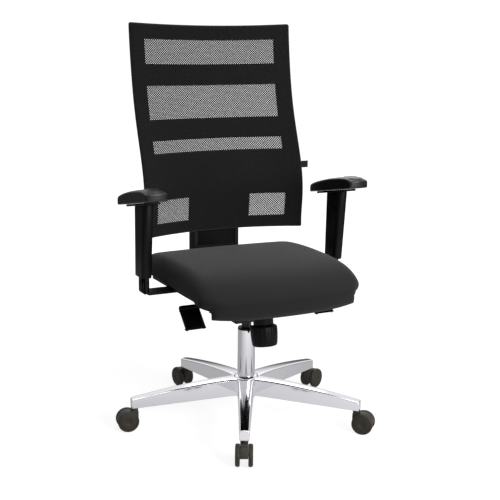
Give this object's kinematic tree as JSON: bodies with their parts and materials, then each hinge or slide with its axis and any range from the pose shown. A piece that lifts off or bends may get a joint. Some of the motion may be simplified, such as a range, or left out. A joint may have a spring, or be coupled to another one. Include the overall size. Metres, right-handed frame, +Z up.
{
  "type": "swivel office chair",
  "caption": "Swivel office chair with a high curved mesh back, upholstered seat, height-adjustable armrests, chrome gas lift and polished five-star base on twin-wheel castors.",
  "frame": {"origin": "on the floor, on the axis that the seat swivels about", "axes": "+Z up; the chair faces -Y; +X is the sitter's left"},
  "size_m": [0.7222, 0.7219, 1.119],
  "materials": {
    "polished_aluminium": "polished",
    "chrome": "mirror",
    "steel": "satin",
    "lift_paint": "satin",
    "black_metal": "powder coated",
    "cast_black": "die cast, black powder coat",
    "black_plastic": "matte",
    "arm_pad_skin": "soft satin",
    "castor_plastic": "matte",
    "castor_tread": "matte",
    "seat_fabric": "fine weave",
    "mesh_fabric": "open mesh",
    "tag_fabric": "woven label, plain"
  },
  "bodies": {
    "base": {"star_base": "polished_aluminium", "lift_outer_tube": "chrome", "lift_guide_bush": "black_plastic", "lift_thrust_bearing": "steel"},
    "piston": {"lift_piston_rod": "steel"},
    "mechanism": {"lift_cylinder": "lift_paint", "mechanism_housing": "cast_black", "front_pivot_shaft": "steel", "rear_pivot_shaft": "steel", "tension_spring": "steel"},
    "valve": {"lift_valve_pin": "steel"},
    "knob": {"tension_knob": "black_plastic", "tension_screw": "steel"},
    "height_paddle": {"height_lever": "black_plastic"},
    "lock_paddle": {"lock_lever": "black_plastic"},
    "seat": {"seat_plate": "black_metal", "seat_pan": "black_plastic", "seat_cushion": "seat_fabric", "seat_bolts": "steel", "arm_bracket_left": "black_metal", "arm_bracket_right": "black_metal"},
    "back_carrier": {"back_carrier": "cast_black"},
    "backrest": {"back_slider": "black_plastic", "back_frame": "black_plastic", "back_mesh": "mesh_fabric", "back_screws": "steel", "side_tag": "tag_fabric"},
    "arm_left": {"arm_post_left": "black_plastic", "arm_pad_plate_left": "black_plastic", "arm_pad_left": "arm_pad_skin"},
    "button_left": {"arm_button_left": "black_plastic"},
    "arm_right": {"arm_post_right": "black_plastic", "arm_pad_plate_right": "black_plastic", "arm_pad_right": "arm_pad_skin"},
    "button_right": {"arm_button_right": "black_plastic"},
    "castor_1": {"castor_hood_1": "castor_plastic", "castor_stem_1": "steel", "castor_axle_1": "steel"},
    "wheel_left_1": {"castor_wheel_left_1": "castor_tread"},
    "wheel_right_1": {"castor_wheel_right_1": "castor_tread"},
    "castor_2": {"castor_hood_2": "castor_plastic", "castor_stem_2": "steel", "castor_axle_2": "steel"},
    "wheel_left_2": {"castor_wheel_left_2": "castor_tread"},
    "wheel_right_2": {"castor_wheel_right_2": "castor_tread"},
    "castor_3": {"castor_hood_3": "castor_plastic", "castor_stem_3": "steel", "castor_axle_3": "steel"},
    "wheel_left_3": {"castor_wheel_left_3": "castor_tread"},
    "wheel_right_3": {"castor_wheel_right_3": "castor_tread"},
    "castor_4": {"castor_hood_4": "castor_plastic", "castor_stem_4": "steel", "castor_axle_4": "steel"},
    "wheel_left_4": {"castor_wheel_left_4": "castor_tread"},
    "wheel_right_4": {"castor_wheel_right_4": "castor_tread"},
    "castor_5": {"castor_hood_5": "castor_plastic", "castor_stem_5": "steel", "castor_axle_5": "steel"},
    "wheel_left_5": {"castor_wheel_left_5": "castor_tread"},
    "wheel_right_5": {"castor_wheel_right_5": "castor_tread"}
  },
  "joints": [
    {"name": "seat_swivel", "type": "hinge", "parent": "base", "child": "piston", "pos_m": [0, 0, 0.2], "axis": [0, 0, 1], "continuous": true},
    {"name": "seat_height", "type": "slide", "parent": "piston", "child": "mechanism", "axis": [0, 0, 1], "range_m": [0, 0.12]},
    {"name": "back_recline", "type": "hinge", "parent": "mechanism", "child": "back_carrier", "pos_m": [0, 0.05, 0.33], "axis": [-1, 0, 0], "range_deg": [0, 18], "stiffness_Nm_per_rad": 80, "springref_deg": -28.65},
    {"name": "seat_tilt", "type": "hinge", "parent": "mechanism", "child": "seat", "pos_m": [0, -0.118, 0.358], "axis": [-1, 0, 0], "range_deg": [0, 7.2]},
    {"name": "back_height", "type": "slide", "parent": "back_carrier", "child": "backrest", "axis": [0, 0, 1], "range_m": [0, 0.06]},
    {"name": "tension_turn", "type": "hinge", "parent": "mechanism", "child": "knob", "pos_m": [0, -0.105, 0.307], "axis": [0, 0.1822, 0.9833], "continuous": true},
    {"name": "height_lift", "type": "hinge", "parent": "mechanism", "child": "height_paddle", "pos_m": [0, -0.047, 0.365], "axis": [-1, 0, 0], "range_deg": [0, 6], "stiffness_Nm_per_rad": 2, "springref_deg": -6.88},
    {"name": "valve_press", "type": "slide", "parent": "mechanism", "child": "valve", "axis": [0, 0, -1], "range_m": [0, 0.005]},
    {"name": "tilt_lock", "type": "hinge", "parent": "mechanism", "child": "lock_paddle", "pos_m": [0, -0.047, 0.365], "axis": [-1, 0, 0], "range_deg": [0, 12]},
    {"name": "arm_height_left", "type": "slide", "parent": "seat", "child": "arm_left", "axis": [0, 0, 1], "range_m": [0, 0.075]},
    {"name": "arm_button_press_left", "type": "slide", "parent": "arm_left", "child": "button_left", "axis": [1, 0, 0], "range_m": [0, 0.003], "stiffness_N_per_m": 800, "springref_m": -0.002},
    {"name": "arm_height_right", "type": "slide", "parent": "seat", "child": "arm_right", "axis": [0, 0, 1], "range_m": [0, 0.075]},
    {"name": "arm_button_press_right", "type": "slide", "parent": "arm_right", "child": "button_right", "axis": [-1, 0, 0], "range_m": [0, 0.003], "stiffness_N_per_m": 800, "springref_m": -0.002},
    {"name": "castor_swivel_1", "type": "hinge", "parent": "base", "child": "castor_1", "pos_m": [-0.14942, -0.29199, 0.06], "axis": [0, 0, 1], "continuous": true},
    {"name": "wheel_roll_left_1", "type": "hinge", "parent": "castor_1", "child": "wheel_left_1", "pos_m": [-0.15853, -0.30979, 0.03], "axis": [0.8902, -0.4555, 0], "continuous": true},
    {"name": "wheel_roll_right_1", "type": "hinge", "parent": "castor_1", "child": "wheel_right_1", "pos_m": [-0.15853, -0.30979, 0.03], "axis": [0.8902, -0.4555, 0], "continuous": true},
    {"name": "castor_swivel_2", "type": "hinge", "parent": "base", "child": "castor_2", "pos_m": [0.23153, -0.23234, 0.06], "axis": [0, 0, 1], "continuous": true},
    {"name": "wheel_roll_left_2", "type": "hinge", "parent": "castor_2", "child": "wheel_left_2", "pos_m": [0.24564, -0.2465, 0.03], "axis": [0.7083, 0.7059, 0], "continuous": true},
    {"name": "wheel_roll_right_2", "type": "hinge", "parent": "castor_2", "child": "wheel_right_2", "pos_m": [0.24564, -0.2465, 0.03], "axis": [0.7083, 0.7059, 0], "continuous": true},
    {"name": "castor_swivel_3", "type": "hinge", "parent": "base", "child": "castor_3", "pos_m": [0.29251, 0.1484, 0.06], "axis": [0, 0, 1], "continuous": true},
    {"name": "wheel_roll_left_3", "type": "hinge", "parent": "castor_3", "child": "wheel_left_3", "pos_m": [0.31035, 0.15745, 0.03], "axis": [-0.4524, 0.8918, 0], "continuous": true},
    {"name": "wheel_roll_right_3", "type": "hinge", "parent": "castor_3", "child": "wheel_right_3", "pos_m": [0.31035, 0.15745, 0.03], "axis": [-0.4524, 0.8918, 0], "continuous": true},
    {"name": "castor_swivel_4", "type": "hinge", "parent": "base", "child": "castor_4", "pos_m": [-0.05074, 0.32405, 0.06], "axis": [0, 0, 1], "continuous": true},
    {"name": "wheel_roll_left_4", "type": "hinge", "parent": "castor_4", "child": "wheel_left_4", "pos_m": [-0.05384, 0.34381, 0.03], "axis": [-0.988, -0.1547, 0], "continuous": true},
    {"name": "wheel_roll_right_4", "type": "hinge", "parent": "castor_4", "child": "wheel_right_4", "pos_m": [-0.05384, 0.34381, 0.03], "axis": [-0.988, -0.1547, 0], "continuous": true},
    {"name": "castor_swivel_5", "type": "hinge", "parent": "base", "child": "castor_5", "pos_m": [-0.32387, 0.05188, 0.06], "axis": [0, 0, 1], "continuous": true},
    {"name": "wheel_roll_left_5", "type": "hinge", "parent": "castor_5", "child": "wheel_left_5", "pos_m": [-0.34362, 0.05504, 0.03], "axis": [-0.1582, -0.9874, 0], "continuous": true},
    {"name": "wheel_roll_right_5", "type": "hinge", "parent": "castor_5", "child": "wheel_right_5", "pos_m": [-0.34362, 0.05504, 0.03], "axis": [-0.1582, -0.9874, 0], "continuous": true}
  ],
  "couplings": [
    {"joint": "seat_tilt", "follows": "back_recline", "ratio": 0.4},
    {"joint": "valve_press", "follows": "height_lift", "m_per_rad": 0.047}
  ]
}
